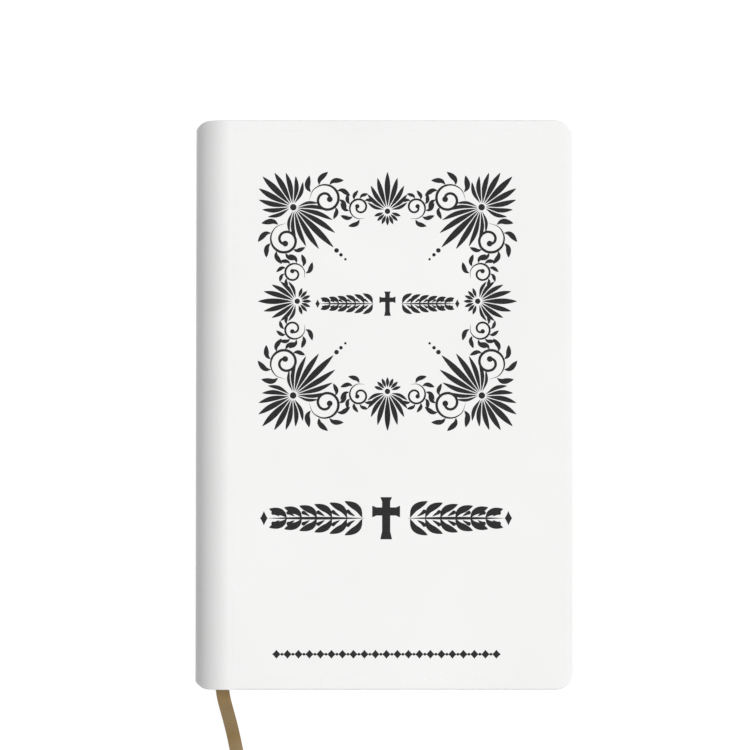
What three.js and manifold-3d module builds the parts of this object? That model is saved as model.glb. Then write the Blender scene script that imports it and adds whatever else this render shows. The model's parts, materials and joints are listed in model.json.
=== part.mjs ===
// A small bible in a white leather case with a rounded spine, lying closed on its back cover.
// Millimetres. X runs from the spine (-) to the fore-edge (+), Y from tail (-) to head (+),
// Z up through the thickness. The origin is the middle of the closed book's footprint.
import * as THREE from "three";
import { mergeVertices } from "three/addons/utils/BufferGeometryUtils.js";
import Module from "manifold-3d";

const wasm = await Module();
wasm.setup();

// Driving dimensions of the closed book.
const WIDTH = 140;
const HEIGHT = 210;
const THICKNESS = 30;
const MID_Z = THICKNESS / 2;

// Case: leather skin over boards, with a rounded spine that runs smoothly into both covers.
const SKIN = 0.8;
const COVER_THICKNESS = 2.15;
const SHOULDER_X = -57; // where the rounded spine ends and each cover's fold line lies
const SPINE_REACH = SHOULDER_X + WIDTH / 2;
const FOLD_GAP = 0.6;
const FORE_CORNER_RADIUS = 7;
const SPINE_CORNER_RADIUS = 4;
const TURN_IN = 12;
const TURN_IN_THICKNESS = 0.3;
const BOARD_THICKNESS = 0.95;
const CLEARANCE = 0.05;
const PASTEDOWN_THICKNESS = 0.2;
const PASTEDOWN_MARGIN = 3;

// Text block: sewn sections with a rounded back and a hollow fore-edge.
const SQUARE = 3.5; // how far the covers stand out past the pages
const BACK_X = -67.9; // the rounded back's furthest point
const BACK_RADIUS = 14.66;
const PAGE_WIDTH = 127.7;
const PAGE_CORNER_RADIUS = 6.5;
const SECTION_PITCH = 1.16;
const SECTION_GAP = 0.04;
const SECTIONS_PER_QUARTER = 5;
const QUARTERS = 4;
const LOWER_BLOCK_Z = 2.7;
const UPPER_BLOCK_Z = 15.6;
const LEAF_THICKNESS = 0.12;
const LEAF_PITCH = 0.17;
const LOOSE_LEAVES = 4;
const FIRST_LEAF_Z = 14.8;
const FLYLEAF_X = -60.9;
const FLYLEAF_END_X = 66.3;
const BACK_FLYLEAF_Z = 2.46;

// Layers glued to the rounded back, each given by its distance out from the pages.
const LINING_HALF_HEIGHT_Z = 10.5;
const TAPES = { from: 0.12, to: 0.3, width: 12, pitch: 62 };
const MULL = { from: 0.36, to: 0.6, height: 190 };
const LINING = { from: 0.66, to: 0.9, height: 198 };
const INLAY = { inset: 0.85, thickness: 0.25, height: 200 };
const BAND_RADIUS = 0.9;
const BAND_HALF_HEIGHT_Z = 10;
const GLUE_GAP = 0.3;

// Ribbon marker: 5 mm wide, from the head down between the pages and out past the tail.
const RIBBON_WIDTH = 5;
const RIBBON_THICKNESS = 0.2;
const RIBBON_ROUTE = [
  [-64.5, 101, 14.53],
  [-62.6, 50, 14.53],
  [-61.2, 0, 14.53],
  [-60.5, -50, 14.53],
  [-60.3, -98, 14.53],
  [-60.2, -104, 14.2],
  [-59.6, -109, 12.6],
  [-58.5, -114, 9.2],
  [-57.4, -119, 5],
  [-56.4, -124, 1.8],
  [-55.4, -129, 0.7],
  [-54, -136, 0.3],
  [-53, -141, 0.25],
];

const book = new THREE.Group();

// ---------- geometry helpers ----------

function solidFrom(geometry) {
  const bare = geometry.clone();
  bare.deleteAttribute("normal");
  bare.deleteAttribute("uv");
  const merged = mergeVertices(bare, 1e-4);
  const vertProperties = new Float32Array(merged.attributes.position.array);
  const triVerts = new Uint32Array(merged.index.array);
  return new wasm.Manifold(new wasm.Mesh({ numProp: 3, vertProperties, triVerts }));
}

function geometryFrom(solid) {
  const mesh = solid.getMesh();
  const geometry = new THREE.BufferGeometry();
  geometry.setAttribute("position", new THREE.BufferAttribute(new Float32Array(mesh.vertProperties), 3));
  geometry.setIndex(new THREE.BufferAttribute(new Uint32Array(mesh.triVerts), 1));
  const faceted = geometry.toNonIndexed();
  faceted.computeVertexNormals();
  return faceted;
}

// A rectangle in the XY plane with its own radius at the spine side and at the fore-edge side.
function roundedRectangle(lowX, highX, halfY, spineRadius, foreRadius) {
  const shape = new THREE.Shape();
  shape.moveTo(lowX + spineRadius, -halfY);
  shape.lineTo(highX - foreRadius, -halfY);
  if (foreRadius > 0) {
    shape.absarc(highX - foreRadius, -halfY + foreRadius, foreRadius, -Math.PI / 2, 0, false);
    shape.lineTo(highX, halfY - foreRadius);
    shape.absarc(highX - foreRadius, halfY - foreRadius, foreRadius, 0, Math.PI / 2, false);
  } else {
    shape.lineTo(highX, -halfY);
    shape.lineTo(highX, halfY);
  }
  shape.lineTo(lowX + spineRadius, halfY);
  if (spineRadius > 0) {
    shape.absarc(lowX + spineRadius, halfY - spineRadius, spineRadius, Math.PI / 2, Math.PI, false);
    shape.lineTo(lowX, -halfY + spineRadius);
    shape.absarc(lowX + spineRadius, -halfY + spineRadius, spineRadius, Math.PI, 1.5 * Math.PI, false);
  }
  return shape;
}

// A flat plate: an XY outline between two heights.
function plate(shape, lowZ, highZ) {
  const geometry = new THREE.ExtrudeGeometry(shape, {
    depth: highZ - lowZ,
    bevelEnabled: false,
    curveSegments: 10,
  });
  return geometry.translate(0, 0, lowZ);
}

// An XZ profile, drawn as points, run along Y for the given height and centred on y.
function runAlongY(points, height, centreY = 0) {
  const shape = new THREE.Shape(points.map(([x, z]) => new THREE.Vector2(x, z)));
  const geometry = new THREE.ExtrudeGeometry(shape, { depth: height, bevelEnabled: false });
  geometry.rotateX(Math.PI / 2);
  return geometry.translate(0, centreY + height / 2, 0);
}

function addNode(name, geometry, material) {
  const mesh = new THREE.Mesh(geometry, material);
  mesh.name = name;
  book.add(mesh);
}

// ---------- curves through the thickness ----------

// The rounded back of the pages, moved out by some distance: x at height z.
function backX(z, out = 0) {
  const centreX = BACK_X + BACK_RADIUS;
  return centreX - Math.sqrt((BACK_RADIUS + out) ** 2 - (z - MID_Z) ** 2);
}

// The outside of the rounded spine, moved in by some distance: x at height z.
function spineX(z, inset = 0) {
  const reach = SPINE_REACH - inset;
  const rise = MID_Z - inset;
  return SHOULDER_X - reach * Math.sqrt(Math.max(0, 1 - ((z - MID_Z) / rise) ** 2));
}

// A thin curved layer between two such curves, from z below the middle to z above it.
function layerPoints(outerX, innerX, halfZ, steps) {
  const points = [];
  for (let i = 0; i <= steps; i++) {
    const z = MID_Z - halfZ + (2 * halfZ * i) / steps;
    points.push([outerX(z), z]);
  }
  for (let i = steps; i >= 0; i--) {
    const z = MID_Z - halfZ + (2 * halfZ * i) / steps;
    points.push([innerX(z), z]);
  }
  return points;
}

// ---------- materials ----------

const paint = (color, roughness) => new THREE.MeshStandardMaterial({ color, roughness, metalness: 0 });
const leather = () => paint(0xf1f0ee, 0.55);
const paper = () => paint(0xf6f3ea, 0.9);
const card = () => paint(0xc9bfa8, 0.95);
const cloth = () => paint(0xe6e1d4, 0.95);

// ---------- case ----------

function spineCover() {
  const steps = 40;
  const outside = [];
  const inside = [];
  for (let i = 0; i <= steps; i++) {
    const turn = -Math.PI / 2 + (Math.PI * i) / steps;
    outside.push([SHOULDER_X - SPINE_REACH * Math.cos(turn), MID_Z + MID_Z * Math.sin(turn)]);
    const insideX = SHOULDER_X - (SPINE_REACH - SKIN) * Math.cos(turn);
    inside.push([insideX, MID_Z + (MID_Z - SKIN) * Math.sin(turn)]);
  }
  const shell = solidFrom(runAlongY([...outside, ...inside.reverse()], HEIGHT));
  const outline = roundedRectangle(-WIDTH / 2, WIDTH / 2, HEIGHT / 2, SPINE_CORNER_RADIUS, 0);
  const silhouette = solidFrom(plate(outline, -1, THICKNESS + 1));
  addNode("spine_cover", geometryFrom(shell.intersect(silhouette)), leather());
}

function spineInlay() {
  const { inset, thickness, height } = INLAY;
  const outer = (z) => spineX(z, inset);
  const inner = (z) => spineX(z, inset + thickness);
  addNode("spine_inlay", runAlongY(layerPoints(outer, inner, LINING_HALF_HEIGHT_Z, 16), height), card());
}

// Heights of one cover's layers, counted in from the cover's outside face.
function coverLayers() {
  const board = SKIN + CLEARANCE;
  const turnIn = COVER_THICKNESS - TURN_IN_THICKNESS;
  const pastedown = COVER_THICKNESS + CLEARANCE;
  return { board, turnIn, pastedown };
}

// name is front or back; level turns a depth under the outside face into a height.
function cover(name, level) {
  const lowX = SHOULDER_X + FOLD_GAP;
  const highX = WIDTH / 2;
  const halfY = HEIGHT / 2;
  const layers = coverLayers();
  const slab = (outline, from, to) => {
    const [a, b] = [level(from), level(to)].sort((p, q) => p - q);
    return plate(outline, a, b);
  };
  const outlineInset = (inset) =>
    roundedRectangle(lowX + inset, highX - inset, halfY - inset, 0, Math.max(FORE_CORNER_RADIUS - inset, 1));

  const block = solidFrom(slab(outlineInset(0), 0, COVER_THICKNESS));
  const pocket = solidFrom(slab(outlineInset(SKIN), SKIN, layers.turnIn));
  const window = solidFrom(slab(outlineInset(TURN_IN), SKIN, COVER_THICKNESS + 1));
  addNode(`${name}_cover_skin`, geometryFrom(block.subtract(pocket).subtract(window)), leather());

  const boardOutline = outlineInset(SKIN + CLEARANCE);
  const boardPlate = slab(boardOutline, layers.board, layers.board + BOARD_THICKNESS);
  addNode(`${name}_board`, boardPlate, card());

  const pastedownOutline = outlineInset(PASTEDOWN_MARGIN);
  const pastedownPlate = slab(pastedownOutline, layers.pastedown, layers.pastedown + PASTEDOWN_THICKNESS);
  addNode(`${name}_pastedown`, pastedownPlate, paper());
}

// ---------- text block ----------

const pageHalfY = HEIGHT / 2 - SQUARE;

// One folded section: flat leaves, a round fold at the spine and round corners at the fore-edge.
function section(name, lowZ) {
  const highZ = lowZ + SECTION_PITCH - SECTION_GAP;
  const half = (highZ - lowZ) / 2;
  const midZ = lowZ + half;
  const innermostX = Math.max(backX(lowZ), backX(highZ));
  const foldX = (backX(midZ) + innermostX) / 2 + half;
  const profile = [
    [backX(lowZ) + PAGE_WIDTH, lowZ],
    [backX(highZ) + PAGE_WIDTH, highZ],
  ];
  const foldSteps = 8;
  for (let i = 0; i <= foldSteps; i++) {
    const turn = Math.PI / 2 + (Math.PI * i) / foldSteps;
    profile.push([foldX + half * Math.cos(turn), midZ + half * Math.sin(turn)]);
  }
  const folded = solidFrom(runAlongY(profile, 2 * pageHalfY));
  const highX = backX(midZ) + PAGE_WIDTH;
  const outline = roundedRectangle(-WIDTH, highX, pageHalfY, 0, PAGE_CORNER_RADIUS);
  const corners = solidFrom(plate(outline, lowZ - 1, highZ + 1));
  addNode(name, geometryFrom(folded.intersect(corners)), paper());
}

function textBlock() {
  const perHalf = (QUARTERS / 2) * SECTIONS_PER_QUARTER;
  for (let i = 0; i < 2 * perHalf; i++) {
    const base = i < perHalf ? LOWER_BLOCK_Z : UPPER_BLOCK_Z;
    const name = `section_${String(i + 1).padStart(2, "0")}`;
    section(name, base + (i % perHalf) * SECTION_PITCH);
  }
}

function looseLeaves() {
  for (let i = 0; i < LOOSE_LEAVES; i++) {
    const lowZ = FIRST_LEAF_Z + i * LEAF_PITCH;
    const lowX = backX(lowZ);
    const outline = roundedRectangle(lowX, lowX + PAGE_WIDTH, pageHalfY, 0, PAGE_CORNER_RADIUS);
    addNode(`centre_leaf_${i + 1}`, plate(outline, lowZ, lowZ + LEAF_THICKNESS), paper());
  }
}

function flyleaf(name, lowZ) {
  const outline = roundedRectangle(FLYLEAF_X, FLYLEAF_END_X, pageHalfY, 0, PAGE_CORNER_RADIUS);
  addNode(name, plate(outline, lowZ, lowZ + LEAF_THICKNESS), paper());
}

// ---------- what holds the sections together ----------

function backLayer(name, from, to, height, centreY, material) {
  const outer = (z) => backX(z, to);
  const inner = (z) => backX(z, from);
  addNode(name, runAlongY(layerPoints(outer, inner, LINING_HALF_HEIGHT_Z, 16), height, centreY), material);
}

function backLayers() {
  for (let i = -1; i <= 1; i++) {
    backLayer(`sewing_tape_${i + 2}`, TAPES.from, TAPES.to, TAPES.width, i * TAPES.pitch, cloth());
  }
  backLayer("mull", MULL.from, MULL.to, MULL.height, 0, cloth());
  backLayer("spine_lining", LINING.from, LINING.to, LINING.height, 0, card());
}

// A cord-like roll that follows the rounded back, on the head or the tail of the pages.
function endBand(name, end) {
  const y = end * (pageHalfY + GLUE_GAP + BAND_RADIUS);
  const points = [];
  const steps = 12;
  for (let i = 0; i <= steps; i++) {
    const z = MID_Z - BAND_HALF_HEIGHT_Z + (2 * BAND_HALF_HEIGHT_Z * i) / steps;
    points.push(new THREE.Vector3(backX(z) + BAND_RADIUS, y, z));
  }
  const round = new THREE.Shape();
  round.absarc(0, 0, BAND_RADIUS, 0, 2 * Math.PI, false);
  const roll = new THREE.ExtrudeGeometry(round, {
    steps: 24,
    curveSegments: 6,
    bevelEnabled: false,
    extrudePath: new THREE.CatmullRomCurve3(points),
  });
  addNode(name, roll, cloth());
}

function ribbonMarker() {
  const halfWidth = RIBBON_WIDTH / 2;
  const halfThickness = RIBBON_THICKNESS / 2;
  const flat = new THREE.Shape([
    new THREE.Vector2(-halfThickness, -halfWidth),
    new THREE.Vector2(halfThickness, -halfWidth),
    new THREE.Vector2(halfThickness, halfWidth),
    new THREE.Vector2(-halfThickness, halfWidth),
  ]);
  const route = new THREE.CatmullRomCurve3(RIBBON_ROUTE.map((p) => new THREE.Vector3(...p)));
  const strip = new THREE.ExtrudeGeometry(flat, { steps: 60, bevelEnabled: false, extrudePath: route });
  addNode("ribbon_marker", strip, paint(0x8b7755, 0.6));
}

// ---------- the whole book ----------

spineCover();
spineInlay();
cover("back", (depth) => depth);
cover("front", (depth) => THICKNESS - depth);
textBlock();
looseLeaves();
flyleaf("back_flyleaf", BACK_FLYLEAF_Z);
flyleaf("front_flyleaf", THICKNESS - BACK_FLYLEAF_Z - LEAF_THICKNESS);
backLayers();
endBand("headband", 1);
endBand("tailband", -1);
ribbonMarker();

export default book;
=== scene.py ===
"""A small white bible with a rounded spine, a printed ornament and a ribbon marker, on a pale floor.

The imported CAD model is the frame. Everything is in metres: X from the spine to the fore-edge, Y from the
tail to the head, Z up. MM turns the sizes below, given in millimetres, into metres.
"""

import json
import math

import bmesh
import bpy
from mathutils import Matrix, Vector


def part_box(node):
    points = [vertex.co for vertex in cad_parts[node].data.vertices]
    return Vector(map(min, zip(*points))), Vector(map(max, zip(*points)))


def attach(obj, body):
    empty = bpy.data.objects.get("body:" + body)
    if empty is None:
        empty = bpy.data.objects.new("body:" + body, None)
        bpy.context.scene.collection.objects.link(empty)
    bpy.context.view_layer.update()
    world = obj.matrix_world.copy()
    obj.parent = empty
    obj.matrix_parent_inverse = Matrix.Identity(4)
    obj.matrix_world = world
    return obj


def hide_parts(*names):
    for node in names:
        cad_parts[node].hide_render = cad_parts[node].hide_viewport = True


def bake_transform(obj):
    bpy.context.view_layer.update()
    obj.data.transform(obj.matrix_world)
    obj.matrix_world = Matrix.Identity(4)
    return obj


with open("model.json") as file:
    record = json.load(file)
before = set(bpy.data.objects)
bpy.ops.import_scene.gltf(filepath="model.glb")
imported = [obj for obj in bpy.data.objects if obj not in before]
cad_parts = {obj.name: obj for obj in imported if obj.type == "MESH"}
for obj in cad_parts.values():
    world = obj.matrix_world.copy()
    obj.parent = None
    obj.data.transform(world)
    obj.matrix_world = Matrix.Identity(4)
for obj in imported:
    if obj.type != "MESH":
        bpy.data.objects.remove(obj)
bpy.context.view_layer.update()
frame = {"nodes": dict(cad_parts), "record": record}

MM = 0.001

HINGES = {j["name"]: Vector(j["pos_m"]) for j in frame["record"]["behaviour"]["joints"]}
HINGES_UP_THE_SPINE = [
    HINGES[name]
    for name in ("back_cover_hinge", "back_opening", "middle_opening", "front_opening", "front_cover_hinge")
]

COVER_LOW, COVER_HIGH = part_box("front_cover_skin")
SPINE_LOW, SPINE_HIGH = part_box("spine_cover")
THICKNESS = COVER_HIGH.z
MID_Z = THICKNESS / 2
HALF_HEIGHT = COVER_HIGH.y
SHOULDER_X = SPINE_HIGH.x
SPINE_REACH = SHOULDER_X - SPINE_LOW.x
CASE_MID_X = (SPINE_LOW.x + COVER_HIGH.x) / 2

SKIN = 0.8 * MM
PANEL_START_X = SHOULDER_X + 1.6 * MM
FORE_CORNER_RADIUS = 7 * MM
SPINE_DIP = 2.3 * MM
SPINE_DIP_LENGTH = 5 * MM
PAGES_BACK_X = -67.9 * MM
PAGES_BACK_RADIUS = 14.66 * MM

UP = Vector((0, 0, 1))
TO_FORE_EDGE = Vector((1, 0, 0))
OPENING_BEND = 2.0 * MM
COVER_BEND = 1.5 * MM


# ---------- mesh helpers ----------

SHARP_ANGLE = 50


def make_object(name, vertices, faces, material, smooth=True, reorient=True):
    """A mesh object from plain lists, with its faces turned outwards unless they already are."""
    mesh = bpy.data.meshes.new(name)
    mesh.from_pydata([tuple(v) for v in vertices], [], faces)
    mesh.validate()
    work = bmesh.new()
    work.from_mesh(mesh)
    if reorient:
        bmesh.ops.recalc_face_normals(work, faces=work.faces)
    sharp = math.radians(SHARP_ANGLE)
    for edge in work.edges:
        if edge.is_manifold and edge.calc_face_angle(0) > sharp:
            edge.smooth = False
    for face in work.faces:
        face.smooth = smooth
    work.to_mesh(mesh)
    work.free()
    mesh.materials.append(material)
    made = bpy.data.objects.new(name, mesh)
    bpy.context.scene.collection.objects.link(made)
    return made


def end_faces(rings, ring_size):
    """A face on the first ring of points and one on the last."""
    last = (rings - 1) * ring_size
    return [tuple(reversed(range(ring_size))), tuple(range(last, last + ring_size))]


def tube_faces(rings, ring_size):
    """Quads between closed rings of points that follow each other, with a face on each end."""
    faces = []
    for r in range(rings - 1):
        near = r * ring_size
        far = near + ring_size
        for i in range(ring_size):
            j = (i + 1) % ring_size
            faces.append((near + i, near + j, far + j, far + i))
    return faces + end_faces(rings, ring_size)


def direction_at(line, i):
    """The unit direction of a line of points at its point number i."""
    return (line[min(i + 1, len(line) - 1)] - line[max(i - 1, 0)]).normalized()


def spread(low, high, count):
    """Numbers from low to high in count equal steps."""
    return [low + (high - low) * i / count for i in range(count + 1)]


def smooth_line(points, step):
    """Points about step apart on the Catmull-Rom curve through points."""
    padded = [points[0] * 2 - points[1], *points, points[-1] * 2 - points[-2]]
    line = []
    for i in range(1, len(padded) - 2):
        before, start, end, after = padded[i - 1 : i + 3]
        count = max(2, round((end - start).length / step))
        for k in range(count):
            t = k / count
            line.append(
                0.5
                * (
                    2 * start
                    + (end - before) * t
                    + (2 * before - 5 * start + 4 * end - after) * t**2
                    + (3 * start - before - 3 * end + after) * t**3
                )
            )
    line.append(points[-1].copy())
    return line


# ---------- material helpers ----------

# The grey dashes on a page: two columns, COLUMN_CENTRE to each side of the page's middle.
PRINT_LEADING = 2.5 * MM
LINE_SHARE = 0.42
GAP_LEVEL = 0.43
COLUMN_CENTRE = 26 * MM
COLUMN_WIDTH = 47 * MM
COLUMN_HEIGHT = 180 * MM

PAPER_DARK = (0.835, 0.812, 0.755)
PAPER_LIGHT = (0.87, 0.85, 0.797)
PAGE_EDGE_DARK = (0.60, 0.575, 0.51)
PAGE_EDGE_LIGHT = (0.87, 0.85, 0.795)
PAGE_INK = (0.50, 0.485, 0.455)


class Nodes:
    """A small builder for node materials."""

    def __init__(self, name):
        self.material = bpy.data.materials.new(name)
        self.material.use_nodes = True
        self.tree = self.material.node_tree
        self.shader = self.tree.nodes["Principled BSDF"]
        self.coordinates = self.add("ShaderNodeTexCoord")

    def add(self, kind, **inputs):
        node = self.tree.nodes.new(kind)
        for key, value in inputs.items():
            node.inputs[key].default_value = value
        return node

    def link(self, source, target):
        self.tree.links.new(source, target)

    def place(self, scale=(1, 1, 1), kind="Object"):
        """Coordinates of a kind, scaled along each axis."""
        mapping = self.add("ShaderNodeMapping")
        mapping.inputs["Scale"].default_value = scale
        self.link(self.coordinates.outputs[kind], mapping.inputs["Vector"])
        return mapping.outputs["Vector"]

    def noise(self, vector, scale, detail=4, roughness=0.5):
        node = self.add("ShaderNodeTexNoise", Scale=scale, Detail=detail, Roughness=roughness)
        self.link(vector, node.inputs["Vector"])
        return node.outputs["Fac"]

    def cells(self, vector, scale):
        """Rounded cells, low in the middle and high where they meet."""
        node = self.add("ShaderNodeTexVoronoi", Scale=scale)
        node.feature = "SMOOTH_F1"
        self.link(vector, node.inputs["Vector"])
        return node.outputs["Distance"]

    def wave(self, vector, scale, direction="X", distortion=0.0):
        node = self.add("ShaderNodeTexWave", Scale=scale, Distortion=distortion)
        node.bands_direction = direction
        self.link(vector, node.inputs["Vector"])
        return node.outputs["Fac"]

    def ramp(self, value, stops):
        """A colour ramp; stops are (position, colour)."""
        node = self.add("ShaderNodeValToRGB")
        while len(node.color_ramp.elements) < len(stops):
            node.color_ramp.elements.new(0.5)
        for element, (position, color) in zip(node.color_ramp.elements, stops):
            element.position = position
            element.color = (*color, 1)
        self.link(value, node.inputs["Fac"])
        return node.outputs["Color"]

    def math(self, operation, *values):
        """An arithmetic node on one or two values, each a number or a socket."""
        node = self.add("ShaderNodeMath")
        node.operation = operation
        for socket, value in zip(node.inputs, values):
            if isinstance(value, (int, float)):
                socket.default_value = value
            else:
                self.link(value, socket)
        return node.outputs["Value"]

    def blended(self, a, b, share):
        """Two values added in the shares 1 - share and share."""
        return self.math("ADD", self.math("MULTIPLY", a, 1 - share), self.math("MULTIPLY", b, share))

    def mixed(self, factor, a, b):
        """Colour a where factor is 0 and colour b where it is 1."""
        node = self.add("ShaderNodeMix")
        node.data_type = "RGBA"
        self.link(factor, node.inputs["Factor"])
        for name, value in (("A", a), ("B", b)):
            if isinstance(value, tuple):
                node.inputs[name].default_value = (*value, 1)
            else:
                self.link(value, node.inputs[name])
        return node.outputs["Result"]

    def axes(self, kind):
        """The X, Y and Z sockets of one kind of coordinates."""
        node = self.add("ShaderNodeSeparateXYZ")
        self.link(self.coordinates.outputs[kind], node.inputs["Vector"])
        return node.outputs["X"], node.outputs["Y"], node.outputs["Z"]

    def set(self, name, value):
        """Sets a constant on the shader's own socket."""
        self.shader.inputs[name].default_value = value

    def bump(self, height, distance, strength=1.0):
        node = self.add("ShaderNodeBump", Strength=strength, Distance=distance)
        self.link(height, node.inputs["Height"])
        self.link(node.outputs["Normal"], self.shader.inputs["Normal"])

    def color(self, socket):
        self.link(socket, self.shader.inputs["Base Color"])

    def roughness(self, value, low, high):
        """Roughness that follows a value from low to high."""
        node = self.add("ShaderNodeMapRange")
        node.inputs["To Min"].default_value = low
        node.inputs["To Max"].default_value = high
        self.link(value, node.inputs["Value"])
        self.link(node.outputs["Result"], self.shader.inputs["Roughness"])


def leather_material():
    """White bonded leather: a very fine pebble grain that hardly shows from the front."""
    n = Nodes("white_leather")
    place = n.place()
    grain = n.cells(place, 2600)
    fine = n.noise(place, 5200, 3)
    broad = n.noise(place, 30, 2)
    n.color(n.ramp(broad, [(0.35, (0.885, 0.885, 0.88)), (0.65, (0.905, 0.905, 0.90))]))
    n.roughness(fine, 0.58, 0.7)
    n.bump(n.math("ADD", grain, n.math("MULTIPLY", fine, 0.35)), 0.035 * MM, 0.55)
    n.set("Specular IOR Level", 0.35)
    return n.material


def ink_material():
    """Near-black print, matt and slightly uneven."""
    n = Nodes("black_print")
    place = n.place()
    patches = n.noise(place, 900, 3)
    n.color(n.ramp(patches, [(0.3, (0.013, 0.013, 0.014)), (0.7, (0.024, 0.024, 0.025))]))
    n.roughness(patches, 0.68, 0.8)
    n.bump(n.noise(place, 5200, 3), 0.02 * MM, 0.4)
    n.set("Specular IOR Level", 0.25)
    return n.material


def paper_fibres(n):
    """Fine noise, drawn out a little along the page."""
    return n.noise(n.place((1, 2.2, 1)), 1500, 5, 0.7)


def paper_look(n, fibres):
    """The colour of a leaf's flat side, which varies only a little."""
    mottle = n.noise(n.place(), 60, 3)
    return n.ramp(n.blended(fibres, mottle, 0.5), [(0.3, PAPER_DARK), (0.7, PAPER_LIGHT)])


def page_material():
    """A section of thin paper: fine leaf lines on its edges, plain paper on its flat sides."""
    n = Nodes("page_paper")
    edge_lines = n.wave(n.place((60, 60, 1000)), 2.2, "Z", 2.5)
    broad_lines = n.noise(n.place((15, 15, 2600)), 1.0, 3)
    bundles = n.noise(n.place((8, 8, 1000)), 1.0, 2)
    fine = n.math("ADD", n.math("MULTIPLY", edge_lines, 0.3), n.math("MULTIPLY", broad_lines, 0.35))
    lines = n.math("ADD", fine, n.math("MULTIPLY", bundles, 0.35))
    edge = n.ramp(lines, [(0.36, PAGE_EDGE_DARK), (0.58, PAGE_EDGE_LIGHT)])
    faces_up = n.math("ABSOLUTE", n.axes("Normal")[2])
    flat = n.math("GREATER_THAN", faces_up, 0.8)
    n.color(n.mixed(flat, edge, paper_look(n, paper_fibres(n))))
    n.set("Roughness", 0.85)
    n.bump(n.math("MULTIPLY", lines, n.math("SUBTRACT", 1.0, flat)), 0.06 * MM, 0.6)
    return n.material


def word_noise(n, across, rows):
    """Noise along each row of print that differs from row to row."""
    place = n.add("ShaderNodeCombineXYZ")
    n.link(across, place.inputs["X"])
    n.link(n.math("MULTIPLY", n.math("FLOOR", rows), 0.37), place.inputs["Y"])
    return n.noise(place.outputs["Vector"], 420, 1)


def leaf_material():
    """A printed leaf: paper with two columns of grey dashes where the small print of a page would be."""
    n = Nodes("leaf_paper")
    fibres = paper_fibres(n)
    across, up, _ = n.axes("UV")
    rows = n.math("DIVIDE", up, PRINT_LEADING)
    in_row = n.math("LESS_THAN", n.math("FRACT", rows), LINE_SHARE)
    in_word = n.math("GREATER_THAN", word_noise(n, across, rows), GAP_LEVEL)
    off_column = n.math("ABSOLUTE", n.math("SUBTRACT", n.math("ABSOLUTE", across), COLUMN_CENTRE))
    in_column = n.math("LESS_THAN", off_column, COLUMN_WIDTH / 2)
    in_height = n.math("LESS_THAN", n.math("ABSOLUTE", up), COLUMN_HEIGHT / 2)
    in_block = n.math("MULTIPLY", in_column, in_height)
    printed = n.math("MULTIPLY", n.math("MULTIPLY", in_row, in_word), in_block)
    n.color(n.mixed(printed, paper_look(n, fibres), PAGE_INK))
    n.set("Roughness", 0.88)
    n.bump(fibres, 0.01 * MM, 0.5)
    return n.material


def endpaper_material():
    """Heavier laid paper, with faint lines pressed into it."""
    n = Nodes("endpaper")
    laid = n.wave(n.place(), 420, "Y", 0.6)
    fibres = n.noise(n.place(), 900, 5, 0.65)
    mixed = n.blended(laid, fibres, 0.75)
    n.color(n.ramp(mixed, [(0.3, (0.76, 0.735, 0.68)), (0.7, (0.85, 0.83, 0.775))]))
    n.set("Roughness", 0.9)
    n.bump(mixed, 0.02 * MM, 0.5)
    return n.material


def card_material(name, dark, light):
    """Pressed card with visible fibres."""
    n = Nodes(name)
    fibres = n.noise(n.place((1, 3, 1)), 700, 6, 0.7)
    n.color(n.ramp(fibres, [(0.3, dark), (0.7, light)]))
    n.set("Roughness", 0.95)
    n.bump(fibres, 0.04 * MM, 0.7)
    return n.material


def cloth_material(name, dark, light, scale):
    """A plain weave of threads that run in Y and Z; a larger scale makes it finer."""
    n = Nodes(name)
    across = n.wave(n.place(), scale, "Y")
    along = n.wave(n.place(), scale, "Z")
    weave = n.math("MULTIPLY", across, along)
    n.color(n.ramp(weave, [(0.1, dark), (0.7, light)]))
    n.set("Roughness", 0.92)
    n.set("Sheen Weight", 0.2)
    n.bump(weave, 0.08 * MM, 0.8)
    return n.material


def band_material():
    """Sewn end band: white and gold threads wrapped side by side."""
    n = Nodes("band_thread")
    stripes = n.wave(n.place(), 190, "Z")
    strands = n.wave(n.place(), 1500, "Z")
    n.color(n.ramp(stripes, [(0.45, (0.82, 0.80, 0.75)), (0.55, (0.46, 0.33, 0.15))]))
    n.set("Roughness", 0.7)
    n.set("Sheen Weight", 0.3)
    n.bump(strands, 0.12 * MM, 0.8)
    return n.material


def ribbon_material():
    """Satin ribbon: fine warp threads along it, weft ribs across it and a soft sheen."""
    n = Nodes("ribbon_satin")
    warp = n.wave(n.place(kind="UV"), 22, "X", 0.4)
    weft = n.wave(n.place(kind="UV"), 560, "Y", 0.6)
    threads = n.blended(warp, weft, 0.5)
    patches = n.noise(n.place(), 260, 3)
    tone = n.blended(threads, patches, 0.4)
    n.color(n.ramp(tone, [(0.25, (0.185, 0.120, 0.047)), (0.75, (0.315, 0.205, 0.080))]))
    n.roughness(threads, 0.38, 0.58)
    n.set("Sheen Weight", 0.35)
    n.set("Anisotropic", 0.4)
    n.bump(threads, 0.03 * MM, 0.7)
    return n.material


LEATHER = leather_material()
INK = ink_material()
PAGES = page_material()
LEAVES = leaf_material()
ENDPAPER = endpaper_material()
BOARD = card_material("grey_board", (0.55, 0.54, 0.51), (0.68, 0.67, 0.64))
CARD = card_material("lining_card", (0.48, 0.42, 0.32), (0.62, 0.56, 0.44))
MULL = cloth_material("mull_cloth", (0.50, 0.48, 0.42), (0.80, 0.78, 0.71), 700)
TAPE = cloth_material("tape_cloth", (0.62, 0.60, 0.54), (0.84, 0.82, 0.76), 1300)
BAND = band_material()
RIBBON = ribbon_material()


# ---------- camera, floor and light ----------

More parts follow.
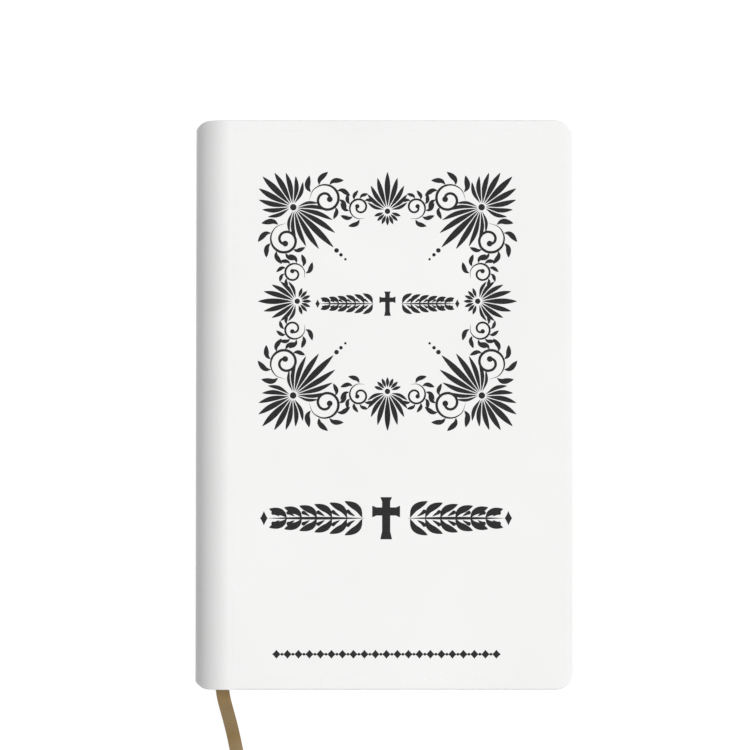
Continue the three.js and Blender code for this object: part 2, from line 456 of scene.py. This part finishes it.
CAMERA_DISTANCE = 1.2
CAMERA_ELEVATION = math.radians(88)
CAMERA_TARGET = Vector((CASE_MID_X - 3.3 * MM, 10.7 * MM, THICKNESS))
VIEW_WIDTH = 276.225 * MM
FLOOR_HALF_SIDE = 60
FLOOR_GLOW = 0.965
HORIZON_GLOW = 0.4
OVERHEAD_GLOW = 0.03
HORIZON_FADE = 0.3


def camera():
    """Looks almost straight down on the cover, from 2 degrees towards the tail."""
    data = bpy.data.cameras.new("camera")
    data.sensor_width = 36
    data.lens = data.sensor_width * CAMERA_DISTANCE / VIEW_WIDTH
    made = bpy.data.objects.new("camera", data)
    back = Vector((0, -math.cos(CAMERA_ELEVATION), math.sin(CAMERA_ELEVATION)))
    made.location = CAMERA_TARGET + back * CAMERA_DISTANCE
    made.rotation_mode = "QUATERNION"
    made.rotation_quaternion = (-back).to_track_quat("-Z", "Y")
    bpy.context.scene.collection.objects.link(made)
    bpy.context.scene.camera = made


def floor_material():
    """Plain pale floor that stays white, with only a trace of unevenness."""
    n = Nodes("floor")
    n.color(n.ramp(n.noise(n.place(), 3, 2), [(0.3, (0.09, 0.09, 0.09)), (0.7, (0.11, 0.11, 0.11))]))
    n.set("Roughness", 0.9)
    n.set("Emission Color", (1, 1, 1, 1))
    n.set("Emission Strength", FLOOR_GLOW)
    return n.material


def floor():
    """A floor wide enough to reach the horizon in low views."""
    side = FLOOR_HALF_SIDE
    corners = [(-side, -side, 0), (side, -side, 0), (side, side, 0), (-side, side, 0)]
    make_object("floor", corners, [(0, 1, 2, 3)], floor_material())


def sun(name, direction, strength, blur):
    """Parallel light that shines along direction, with shadows softened by blur degrees."""
    data = bpy.data.lights.new(name, "SUN")
    data.energy = strength
    data.angle = math.radians(blur)
    made = bpy.data.objects.new(name, data)
    made.rotation_mode = "QUATERNION"
    made.rotation_quaternion = Vector(direction).to_track_quat("-Z", "Y")
    bpy.context.scene.collection.objects.link(made)


def studio_light():
    """Light from above and a little from the fore-edge, so that the spine falls off into grey.

    The world is a pale backdrop at the horizon that fades to nearly nothing overhead.
    """
    sun("key_light", direction=(-0.37, -0.04, -1), strength=3.2, blur=25)
    world = bpy.data.worlds.new("studio")
    world.use_nodes = True
    tree = world.node_tree
    direction = tree.nodes.new("ShaderNodeTexCoord")
    axes = tree.nodes.new("ShaderNodeSeparateXYZ")
    fade = tree.nodes.new("ShaderNodeMapRange")
    fade.inputs["From Max"].default_value = HORIZON_FADE
    fade.inputs["To Min"].default_value = HORIZON_GLOW
    fade.inputs["To Max"].default_value = OVERHEAD_GLOW
    tree.links.new(direction.outputs["Generated"], axes.inputs["Vector"])
    tree.links.new(axes.outputs["Z"], fade.inputs["Value"])
    tree.links.new(fade.outputs["Result"], tree.nodes["Background"].inputs["Strength"])
    tree.nodes["Background"].inputs["Color"].default_value = (1, 1, 1, 1)
    bpy.context.scene.world = world
    bpy.context.scene.view_settings.view_transform = "Standard"


# ---------- ribbon marker ----------

RIBBON_WIDTH = 5 * MM
RIBBON_THICKNESS = 0.2 * MM
RIBBON_CROWN = 0.16 * MM
RIBBON_SLANT = 1.6 * MM
RIBBON_STEPS = 8
# In millimetres: between the pages from head to tail, then out and down to the floor.
RIBBON_ROUTE = [
    (-64.5, 101, 14.53),
    (-62.6, 50, 14.53),
    (-61.2, 0, 14.53),
    (-60.5, -50, 14.53),
    (-60.3, -98, 14.53),
    (-60.2, -104, 14.2),
    (-59.6, -109, 12.6),
    (-58.5, -114, 9.2),
    (-57.4, -119, 5),
    (-56.4, -124, 1.8),
    (-55.4, -129, 0.7),
    (-54, -136, 0.3),
    (-53, -141, 0.25),
]


def ribbon():
    """A flat satin strip, slightly crowned across its width where it hangs free, cut at a slant."""
    route = [Vector(p) * MM for p in RIBBON_ROUTE]
    line = smooth_line(route, 1.5 * MM)
    fade_length = 8 * MM
    slanted_rings = 4
    vertices = []
    for i, point in enumerate(line):
        tangent = direction_at(line, i)
        side = UP.cross(tangent).normalized()
        up = tangent.cross(side)
        free = max(0.0, min(1.0, (-HALF_HEIGHT - point.y) / fade_length))
        slant = RIBBON_SLANT * max(0.0, 1 - (len(line) - 1 - i) / slanted_rings)
        for face in (1, -1):
            for k in range(RIBBON_STEPS + 1):
                u = (k / RIBBON_STEPS - 0.5) * face
                crown = RIBBON_CROWN * free * (1 - 4 * u * u)
                offset = up * (crown + face * RIBBON_THICKNESS / 2)
                vertices.append(point + side * u * RIBBON_WIDTH + offset + tangent * slant * u)
    ring = 2 * (RIBBON_STEPS + 1)
    piece = make_object("ribbon", vertices, tube_faces(len(line), ring), RIBBON)
    ribbon_uv(piece, ring)
    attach(piece, "lower_middle")
    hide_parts("ribbon_marker")


def ribbon_uv(piece, ring):
    """U runs across the ribbon and V along it, so that the threads follow its bends."""
    v_step = 0.01
    layer = piece.data.uv_layers.new(name="UVMap")
    for loop in piece.data.loops:
        row, place = divmod(loop.vertex_index, ring)
        step = place % (RIBBON_STEPS + 1)
        layer.data[loop.index].uv = (step / RIBBON_STEPS, row * v_step)


# ---------- layers that wrap the spine ----------

# Offsets are how far a layer's inner and outer faces stand off the pages' back, or off the case's spine.
GLUED_HALF_THICKNESS = 10.5 * MM
TAPE_OFFSETS = (0.12 * MM, 0.3 * MM)
MULL_OFFSETS = (0.36 * MM, 0.6 * MM)
LINING_OFFSETS = (0.66 * MM, 0.9 * MM)
INLAY_OFFSETS = (-1.1 * MM, -0.85 * MM)


def back_point(z, out):
    """A point at height z on the rounded back of the pages, or standing off it by out."""
    centre_x = PAGES_BACK_X + PAGES_BACK_RADIUS
    return Vector((centre_x - math.sqrt((PAGES_BACK_RADIUS + out) ** 2 - (z - MID_Z) ** 2), 0, z))


def spine_point(turn, inset):
    """A point on the rounded spine; turn runs from -90 degrees at the back cover to 90 at the front."""
    x = SHOULDER_X - (SPINE_REACH - inset) * math.cos(turn)
    return Vector((x, 0, MID_Z + (MID_Z - inset) * math.sin(turn)))


def layer_ring(outer, inner, low_y, high_y, edge_steps):
    """One closed ring round a layer: along its outside, round its head edge, back inside, round its tail."""
    through = inner - outer
    radius = through.length / 2
    ring = []
    for end, start_turn in ((high_y - radius, -90), (low_y + radius, 90)):
        for k in range(edge_steps + 1):
            turn = math.radians(start_turn + 180 * k / edge_steps)
            share = (1 + math.sin(turn)) / 2
            y = end + radius * math.cos(turn)
            ring.append(Vector((outer.x, 0, outer.z)) + through * share + Vector((0, y, 0)))
    return ring


def layer_piece(name, rows, edge_steps, material):
    """rows are (outer point, inner point, low y, high y), from the back cover's side to the front's."""
    vertices = []
    for outer, inner, low_y, high_y in rows:
        vertices += layer_ring(outer, inner, low_y, high_y, edge_steps)
    return make_object(name, vertices, tube_faces(len(rows), 2 * (edge_steps + 1)), material)


def blend_at(piece):
    """Bakes a piece's placement into its mesh; the piece is not bent."""
    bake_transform(piece)


def quarter_middles():
    """The middle height of each quarter of the pages, where one piece of a spine layer meets the next."""
    heights = [h.z for h in HINGES_UP_THE_SPINE]
    return [(a + b) / 2 for a, b in zip(heights, heights[1:])]


def opening_limits(low_z, high_z):
    """Heights that part a layer from low_z to high_z into three pieces, one for each opening."""
    middles = quarter_middles()
    return [low_z, middles[1], middles[2], high_z]


def glued_layer(name, node, point, offsets, material):
    """A layer on the pages' back, in three pieces, one for each opening of the book."""
    low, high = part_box(node)
    near, far = offsets
    limits = opening_limits(MID_Z - GLUED_HALF_THICKNESS, MID_Z + GLUED_HALF_THICKNESS)
    for i in range(3):
        rows = []
        for z in spread(limits[i], limits[i + 1], 28):
            rows.append((point(z, far), point(z, near), low.y, high.y))
        piece = layer_piece(f"{name}_{i + 1}", rows, 4, material)
        blend_at(piece)
        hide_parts(node)


def inlay_point(z, depth):
    """A point inside the case's spine at height z; depth is negative inwards."""
    inset = -depth
    rise = (z - MID_Z) / (MID_Z - inset)
    return Vector((SHOULDER_X - (SPINE_REACH - inset) * math.sqrt(1 - rise * rise), 0, z))


def spine_layers():
    """Tapes, mull and card lining on the pages' back, and the card inlay behind the leather."""
    for number in (1, 2, 3):
        node = f"sewing_tape_{number}"
        glued_layer(node, node, back_point, TAPE_OFFSETS, TAPE)
    glued_layer("mull_cloth", "mull", back_point, MULL_OFFSETS, MULL)
    glued_layer("lining", "spine_lining", back_point, LINING_OFFSETS, CARD)
    glued_layer("inlay", "spine_inlay", inlay_point, INLAY_OFFSETS, CARD)


def end_band(name):
    """The sewn roll at the head or tail of the pages, ribbed by its threads, in three pieces."""
    low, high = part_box(name)
    centre_y = (low.y + high.y) / 2
    radius = (high.y - low.y) / 2
    around = 12
    thread_pitch = 0.6 * MM
    rib_share = 0.06
    limits = opening_limits(low.z, high.z)
    for i in range(3):
        vertices = []
        heights = spread(limits[i], limits[i + 1], 60)
        for z in heights:
            middle = back_point(z, 0) + Vector((radius, centre_y, 0))
            rib = radius * (1 + rib_share * math.sin(2 * math.pi * z / thread_pitch))
            for k in range(around):
                turn = 2 * math.pi * k / around
                vertices.append(middle + Vector((rib * math.cos(turn), rib * math.sin(turn), 0)))
        piece = make_object(f"{name}_roll_{i + 1}", vertices, tube_faces(len(heights), around), BAND)
        blend_at(piece)
        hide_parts(name)


# ---------- leather case ----------


def spine_half_height(x):
    """Half the case's height at x, which dips along a parabola towards the middle of the spine."""
    past = max(0.0, SPINE_LOW.x + SPINE_DIP_LENGTH - x)
    return HALF_HEIGHT - SPINE_DIP * (past / SPINE_DIP_LENGTH) ** 2


def case_row(turn, x=None):
    """A row of the case's skin on the rounded spine, or on the flat beside it when x is given."""
    outer = spine_point(turn, 0)
    inner = spine_point(turn, SKIN)
    if x is not None:
        outer.x = x
        inner.x = x
    half = spine_half_height(outer.x)
    return outer, inner, -half, half


def spine_skin():
    """The leather over the spine, in five pieces that meet in the middle of each quarter of the pages."""
    turns = [math.asin((z - MID_Z) / MID_Z) for z in quarter_middles()]
    turns = [-math.pi / 2, *turns, math.pi / 2]
    flat = spread(SHOULDER_X, PANEL_START_X, 10)[1:]
    bends = [(-TO_FORE_EDGE, COVER_BEND), *[(UP, OPENING_BEND)] * 3, (TO_FORE_EDGE, COVER_BEND)]
    for i, (direction, reach) in enumerate(bends):
        rows = [case_row(turn) for turn in spread(turns[i], turns[i + 1], 44)]
        if i == 0:
            rows = [case_row(turns[0], x) for x in reversed(flat)] + rows
        if i == 4:
            rows += [case_row(turns[5], x) for x in flat]
        piece = layer_piece(f"spine_leather_{i + 1}", rows, 8, LEATHER)
        blend_at(piece)
        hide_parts("spine_cover")


def panel_outline(inset):
    """The cover's three free edges from its tail at the spine to its head, moved in by inset."""
    smallest_radius = 0.4 * MM
    radius = max(FORE_CORNER_RADIUS - inset, smallest_radius)
    half = HALF_HEIGHT - inset
    far = COVER_HIGH.x - inset
    centre = Vector((far - radius, -half + radius))
    points = [Vector((x, -half)) for x in spread(PANEL_START_X, far - radius, 6)[:-1]]
    for turn in spread(-math.pi / 2, 0, 14):
        points.append(centre + Vector((math.cos(turn), math.sin(turn))) * radius)
    upper = [Vector((p.x, -p.y)) for p in reversed(points)]
    return points + upper


def panel_profile():
    """(inset, depth) pairs from the outside face round the edge and under the turned-in leather."""
    outer_radius = 0.9 * MM
    inner_radius = 0.75 * MM
    face_insets = (9 * MM, 4 * MM)
    turn_in = 12 * MM
    turn_in_thickness = 0.3 * MM
    pocket = 0.8 * MM
    depth = THICKNESS - COVER_LOW.z
    pairs = [(inset, 0) for inset in face_insets]
    for turn in spread(0, math.pi / 2, 8):
        pairs.append((outer_radius * (1 - math.sin(turn)), outer_radius * (1 - math.cos(turn))))
    for turn in spread(0, math.pi / 2, 6)[1:]:
        pairs.append((inner_radius * (1 - math.cos(turn)), depth - inner_radius * (1 - math.sin(turn))))
    under = depth - turn_in_thickness
    return pairs + [(turn_in, depth), (turn_in, under), (pocket, under), (pocket, SKIN)]


def cover_panel(body, node, depth_to_z):
    """One cover's leather: a flat face, rounded edges and turn-ins round a pocket for the board."""
    profile = panel_profile()
    rings = len(profile)
    vertices = []
    for inset, depth in profile:
        vertices += [Vector((p.x, p.y, depth_to_z(depth))) for p in panel_outline(inset)]
    size = len(vertices) // rings
    faces = []
    for r in range(rings - 1):
        near = r * size
        far = near + size
        for i in range(size - 1):
            faces.append((near + i, near + i + 1, far + i + 1, far + i))
    faces += end_faces(rings, size)
    tail_side = [r * size for r in range(rings)]
    head_side = [r * size + size - 1 for r in range(rings)]
    faces.append(tuple(head_side + tail_side[::-1]))
    piece = make_object(f"{body}_leather", vertices, faces, LEATHER)
    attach(piece, body)
    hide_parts(node)


# ---------- pages ----------

PAGE_HALF_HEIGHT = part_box("centre_leaf_1")[1].y
PAGE_CORNER_RADIUS = 6.5 * MM
LEAF_START = 0.9 * MM
MIDDLE_FOLD_X = -67.2 * MM
MIDDLE_FOLD_CLEARANCE = 0.085 * MM
MIDDLE_FOLD_THICKNESS = 0.13 * MM
QUARTER_FOLD_START = 0.6 * MM
JOINT_START_X = -60.6 * MM
JOINT_END_X = -51 * MM
JOINT_THICKNESS = 0.04 * MM
JOINT_DEPTH = 2.43 * MM


def page_sheet(name, columns, thickness, corner_side_x, material):
    """A sheet with a real thickness and rounded corners at its fore-edge.

    It runs through columns of (x, z, normal). Its UVs are its place on the closed book, so that what is
    printed on it stays with it as it turns.
    """
    vertices = []
    for x, z, normal in columns:
        past = max(0.0, x - (corner_side_x - PAGE_CORNER_RADIUS))
        y = PAGE_HALF_HEIGHT - PAGE_CORNER_RADIUS + math.sqrt(max(0.0, PAGE_CORNER_RADIUS**2 - past**2))
        for side in (0.5, -0.5):
            shift = normal * side * thickness
            for end in (-y, y) if side > 0 else (y, -y):
                vertices.append(Vector((x + shift.x, end, z + shift.z)))
    piece = make_object(name, vertices, tube_faces(len(columns), 4), material)
    layer = piece.data.uv_layers.new(name="UVMap")
    for loop in piece.data.loops:
        layer.data[loop.index].uv = piece.data.vertices[loop.vertex_index].co.xy
    return piece


def page_columns(start_x, end_x, z, steps=26):
    """Columns along a flat page that crowd together where the fore-edge corner turns."""
    flat = spread(start_x, end_x - PAGE_CORNER_RADIUS, steps)
    turns = spread(0, math.pi / 2, 10)[1:]
    corner = [end_x - PAGE_CORNER_RADIUS * (1 - math.sin(turn)) for turn in turns]
    return [(x, z, UP) for x in flat + corner]


def loose_leaves():
    """The leaves at the middle opening, held at the fold, each drawn as a flat sheet at its own height."""
    for number in (1, 2, 3, 4):
        node = f"centre_leaf_{number}"
        low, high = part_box(node)
        z = (low.z + high.z) / 2
        columns = page_columns(low.x + LEAF_START, high.x, z, 60)
        piece = page_sheet(f"leaf_{number}", columns, high.z - low.z, high.x, LEAVES)
        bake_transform(piece)
        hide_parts(node)


def flyleaves():
    """Each free endpaper, which is pasted along the first page's inner edge, drawn as a flat sheet at its
    own height.
    """
    for node, block in (("front_flyleaf", "front_quarter"), ("back_flyleaf", "back_quarter")):
        low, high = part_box(node)
        z = (low.z + high.z) / 2
        columns = page_columns(low.x, high.x, z, 60)
        piece = page_sheet(f"{node}_sheet", columns, high.z - low.z, high.x, ENDPAPER)
        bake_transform(piece)
        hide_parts(node)


def opening_fold(index, low_z, high_z, thickness, fold_x, far_x):
    """The folded sheet that lines an opening: one leaf on each side, joined by a fold at the spine.

    Only the fold itself bends, between the facing sides of its two leaves.
    """
    middle = (low_z + high_z) / 2
    radius = (high_z - low_z) / 2
    columns = [(x, z, -up) for x, z, up in reversed(page_columns(fold_x, far_x, low_z))]
    for turn in spread(-math.pi / 2, -math.pi * 3 / 2, 12)[1:-1]:
        normal = Vector((math.cos(turn), 0, math.sin(turn)))
        columns.append((fold_x + radius * normal.x, middle + radius * normal.z, normal))
    columns += page_columns(fold_x, far_x, high_z)
    piece = page_sheet(f"opening_fold_{index}", columns, thickness, far_x, LEAVES)
    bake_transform(piece)


def opening_folds():
    """Folded sheets in the gaps between the sections at the two quarter openings and at the middle one."""
    for index, lower, upper in ((1, "section_05", "section_06"), (3, "section_15", "section_16")):
        below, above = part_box(lower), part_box(upper)
        gap = above[0].z - below[1].z
        far = min(below[1].x, above[1].x)
        near = max(below[0].x, above[0].x) + QUARTER_FOLD_START
        opening_fold(index, below[1].z + gap / 4, above[0].z - gap / 4, gap / 5, near, far)
    below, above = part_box("section_10"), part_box("section_11")
    low_z = below[1].z + MIDDLE_FOLD_CLEARANCE
    high_z = above[0].z - MIDDLE_FOLD_CLEARANCE
    opening_fold(2, low_z, high_z, MIDDLE_FOLD_THICKNESS, MIDDLE_FOLD_X, below[1].x)


def endpaper_joint(name, z):
    """The strip of endpaper that crosses from the cover's lining to the pages at a cover's fold."""
    rise = UP * (JOINT_THICKNESS / 2)
    rows = []
    for x in spread(JOINT_START_X, JOINT_END_X, 24):
        point = Vector((x, 0, z))
        rows.append((point + rise, point - rise, -PAGE_HALF_HEIGHT, PAGE_HALF_HEIGHT))
    piece = layer_piece(name, rows, 2, ENDPAPER)
    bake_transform(piece)


def repaint(prefixes, material):
    """Gives another material to the CAD nodes whose names start with one of the prefixes."""
    for node in frame["nodes"]:
        if node.startswith(prefixes):
            materials = bpy.data.objects[node].data.materials
            materials.clear()
            materials.append(material)


# ---------- printed ornament ----------

# The ornament is drawn in millimetres. The frame is a square of side 2 * FRAME_HALF round FRAME_CENTRE.
# Every motif is made of leaves, dots and stems set out by angle and length.
PRINT_HEIGHT = 0.02 * MM
PRINT_STEP = 0.0004 * MM
HAIRLINE = 0.03
FRAME_HALF = 48.25
CENTRE_X = CASE_MID_X / MM + 1.3
FRAME_CENTRE = (CENTRE_X, 37.9)


def is_mirrored(place):
    """Whether a placement turns left into right."""
    origin, along, across = (place(Vector(p)) for p in ((0, 0), (1, 0), (0, 1)))
    return (along - origin).cross(across - origin) < 0


class Print:
    """Collects flat printed shapes, repeats each one at every placement and makes one thin mesh of them.

    A shape is a hair higher than the one before it, and two placements that mirror each other differ by half
    a hair, so that no two shapes share a surface where they overlap.
    """

    def __init__(self, name, placements):
        self.name = name
        self.placements = placements
        self.vertices = []
        self.faces = []
        self.layers = 0

    def strip(self, left, right):
        """A closed slab between two rows of points of equal length."""
        self.layers += 1
        bottom = COVER_HIGH.z - PRINT_HEIGHT
        for number, place in enumerate(self.placements):
            flips = bin(number).count("1")
            top = COVER_HIGH.z + PRINT_HEIGHT + (self.layers + flips % 2 / 2) * PRINT_STEP
            base = len(self.vertices)
            sides = [[place(p) * MM for p in side] for side in (left, right)]
            if is_mirrored(place):
                sides.reverse()
            for a, b in zip(*sides):
                self.vertices += [(a.x, a.y, top), (b.x, b.y, top), (b.x, b.y, bottom), (a.x, a.y, bottom)]
            self.faces += [tuple(base + i for i in face) for face in tube_faces(len(left), 4)]

    def build(self):
        """The finished mesh, which rides the front cover."""
        piece = make_object(self.name, self.vertices, self.faces, INK, smooth=False, reorient=False)
        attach(piece, "front_cover")


def stroke(ink, points, half_width):
    """A brush stroke along points; half_width gives half its width at each share of its length."""
    line = smooth_line([Vector(p) for p in points], 0.4)
    left, right = [], []
    for i, point in enumerate(line):
        ahead = direction_at(line, i)
        across = Vector((-ahead.y, ahead.x)) * half_width(i / (len(line) - 1))
        left.append(point + across)
        right.append(point - across)
    ink.strip(left, right)


def leaf(ink, points, width, fullness=1.0):
    """Sharp at both ends and widest halfway, or nearer the tip where fullness is above 1."""
    stroke(ink, points, lambda t: HAIRLINE + width * math.sin(math.pi * t**fullness) ** 0.85)


def comma(ink, points, width):
    """Round at its root and thin at its tip."""
    head = 0.22

    def half_width(t):
        rounding = math.sqrt(max(0.0, 1 - (1 - min(1, t / head)) ** 2))
        return HAIRLINE + width * rounding * (1 - t) ** 0.7

    stroke(ink, points, half_width)


def dot(ink, x, y, radius):
    """A round dot, drawn from its left end to its right, with a small gap so that it is never pinched."""
    gap = 0.01
    turns = spread(0, math.pi, 10)
    upper = [Vector((x - radius * math.cos(a), y + radius * math.sin(a) + gap)) for a in turns]
    lower = [Vector((x - radius * math.cos(a), y - radius * math.sin(a) - gap)) for a in turns]
    ink.strip(upper, lower)


def diamond(ink, x, y, width, height):
    """A lozenge with hollowed sides."""
    gap = 0.02
    shares = spread(0, 1, 10)
    rise = [height / 2 * (1 - abs(2 * s - 1)) ** 1.25 + gap for s in shares]
    upper = [Vector((x + (s - 0.5) * width, y + r)) for s, r in zip(shares, rise)]
    lower = [Vector((x + (s - 0.5) * width, y - r)) for s, r in zip(shares, rise)]
    ink.strip(upper, lower)


def polar(root, angle, length):
    """The point at a length from root, at an angle in degrees."""
    turn = math.radians(angle)
    return (root[0] + length * math.cos(turn), root[1] + length * math.sin(turn))


def fan(ink, root, angles, lengths, count, slimness, bend):
    """Leaves spread from one root between two angles; the first is straight and the last bends most."""
    root_gap = 1.6
    middle = 0.6
    steps = count - 1
    for share, angle, length in zip(spread(0, 1, steps), spread(*angles, steps), spread(*lengths, steps)):
        bent = polar(root, angle + bend * share, length * middle)
        leaf(ink, [polar(root, angle, root_gap), bent, polar(root, angle, length)], length * slimness, 1.2)


def coil(ink, centre, radius, start, turn, width, leaf_count, leaf_length):
    """A stem that winds in round a centre to a bulb, with leaves that lean forward off its outer side."""
    tightening = 0.78
    thickening = 2.5
    bulb = 2.4
    first_leaf = 0.05
    leaf_pitch = 0.072
    leaf_loss = 0.05
    leaf_lean = 30

    def at(share, out=0.0, lean=0.0):
        return polar(centre, start + turn * share + lean, radius * (1 - tightening * share) + out)

    stem = [at(share) for share in spread(0, 1, 14)]
    stroke(ink, stem, lambda t: HAIRLINE + width * min(1.0, thickening * t))
    dot(ink, *at(1), width * bulb)
    for k in range(leaf_count):
        share = first_leaf + leaf_pitch * k
        length = leaf_length * (1 - leaf_loss * k)
        points = [at(share, 0.3), at(share, length / 2, leaf_lean / 3), at(share, length, leaf_lean)]
        leaf(ink, points, length * 0.21, 1.1)


def corner_motif(ink):
    """Half of a corner: leaves that fan out and in from a knot on the diagonal, and a coiled stem."""
    knot = (13.5, 13.5)
    dot(ink, *knot, 1.2)
    fan(ink, knot, angles=(225, 291), lengths=(16.0, 10.0), count=5, slimness=0.07, bend=7)
    fan(ink, knot, angles=(45, -9), lengths=(21.0, 9.5), count=5, slimness=0.055, bend=-8)
    for k in range(3):
        dot(ink, *polar(knot, 45, 22.6 + 2.3 * k), 0.85 - 0.2 * k)
    coil(ink, (25.6, 10.6), radius=6.2, start=178, turn=540, width=0.45, leaf_count=6, leaf_length=4.8)


def side_motif(ink):
    """Half of a side's middle: a palm of leaves that opens outwards, and a coiled stem beside it."""
    root = (FRAME_HALF, 15.0)
    dot(ink, *root, 1.0)
    fan(ink, root, angles=(270, 204), lengths=(14.5, 8.0), count=5, slimness=0.07, bend=-7)
    fan(ink, root, angles=(90, 160), lengths=(5.2, 5.2), count=4, slimness=0.11, bend=0)
    coil(ink, (38.0, 13.6), radius=4.4, start=66, turn=500, width=0.34, leaf_count=7, leaf_length=3.9)


def placement(centre, across=1, up=1):
    """A placement about a centre, mirrored where across or up is -1."""
    return lambda p: Vector((centre[0] + across * p.x, centre[1] + up * p.y))


def fourfold(centre):
    """Placements that mirror a quarter about a centre."""
    return [placement(centre, across, up) for across in (1, -1) for up in (1, -1)]


def eightfold(centre):
    """Placements that repeat an eighth of the frame, drawn from its outer corner, all the way round."""
    placements = []
    for quarter in fourfold(centre):
        placements.append(lambda p, quarter=quarter: quarter(Vector((p.x - FRAME_HALF, FRAME_HALF - p.y))))
        placements.append(lambda p, quarter=quarter: quarter(Vector((p.y - FRAME_HALF, FRAME_HALF - p.x))))
    return placements


def cross(name, centre, height, bar):
    """A plain Latin cross with slightly flared ends."""
    ink = Print(name, [placement(centre)])
    width = height * 0.66
    root = Vector((0, height * 0.16))
    flare = [(0, 0.5), (0.7, 0.5), (1, 0.72)]
    for tip in ((0, height / 2), (0, -height / 2), (width / 2, root.y), (-width / 2, root.y)):
        along = Vector(tip) - root
        across = Vector((-along.y, along.x)).normalized() * bar
        left = [root + along * share + across * half for share, half in flare]
        right = [root + along * share - across * half for share, half in flare]
        ink.strip(left, right)
    ink.build()


def branches(name, centre, start, end, height):
    """A branch on each side of a cross, from start to end: leaves and drops in pairs, and a lozenge last."""
    ink = Print(name, fourfold(centre))
    reach = end - start
    half = height / 2
    pairs = 6
    pitch = 0.145

    def at(share, rise):
        return (start + reach * share, half * rise)

    leaf(ink, [at(0, 0), at(0.45, 0), at(0.92, 0)], half * 0.08)
    for k in range(pairs):
        root = 0.02 + pitch * k
        rise = 1.0 - 0.09 * k
        leaf(ink, [at(root, 0.03), at(root + 0.05, rise * 0.6), at(root + 0.17, rise)], half * 0.2, 1.1)
        comma(ink, [at(root + 0.15, 0.5 * rise), at(root + 0.12, 0.3), at(root + 0.07, 0.12)], half * 0.13)
    diamond(ink, *at(0.965, 0), height * 0.22, height * 0.42)
    ink.build()


def bead_row(name, centre, half_length, height):
    """A thin row of lozenges with a dot between each two."""
    ink = Print(name, [placement(centre)])
    count = 10
    pitch = half_length / (count + 0.4)
    for k in range(-count, count + 1):
        diamond(ink, k * pitch, 0, pitch * 0.8, height)
        if k < count:
            dot(ink, (k + 0.5) * pitch, 0, height * 0.16)
    ink.build()


def ornaments():
    """Everything printed on the front cover: the frame, what stands inside it, the title and a last row."""
    corners = Print("print_frame_corners", eightfold(FRAME_CENTRE))
    corner_motif(corners)
    corners.build()
    sides = Print("print_frame_sides", eightfold(FRAME_CENTRE))
    side_motif(sides)
    sides.build()
    inner = (CENTRE_X, 37.0)
    cross("print_centre_cross", inner, height=9.0, bar=1.7)
    branches("print_centre_branches", inner, start=5.0, end=26.5, height=7.6)
    title = (CENTRE_X - 0.5, -42.0)
    cross("print_title_cross", title, height=15.5, bar=3.0)
    branches("print_title_branches", title, start=8.0, end=46.3, height=12.5)
    bead_row("print_row", (CENTRE_X - 0.4, -91.9), half_length=42, height=3.2)


# ---------- the whole scene ----------

camera()
ribbon()
floor()
studio_light()
spine_skin()
cover_panel("front_cover", "front_cover_skin", lambda depth: THICKNESS - depth)
cover_panel("back_cover", "back_cover_skin", lambda depth: depth)
spine_layers()
end_band("headband")
end_band("tailband")
loose_leaves()
flyleaves()
opening_folds()
endpaper_joint("front_endpaper_joint", THICKNESS - JOINT_DEPTH)
endpaper_joint("back_endpaper_joint", JOINT_DEPTH)
repaint(("section_",), PAGES)
repaint(("front_pastedown", "back_pastedown"), ENDPAPER)
repaint(("front_board", "back_board"), BOARD)
ornaments()
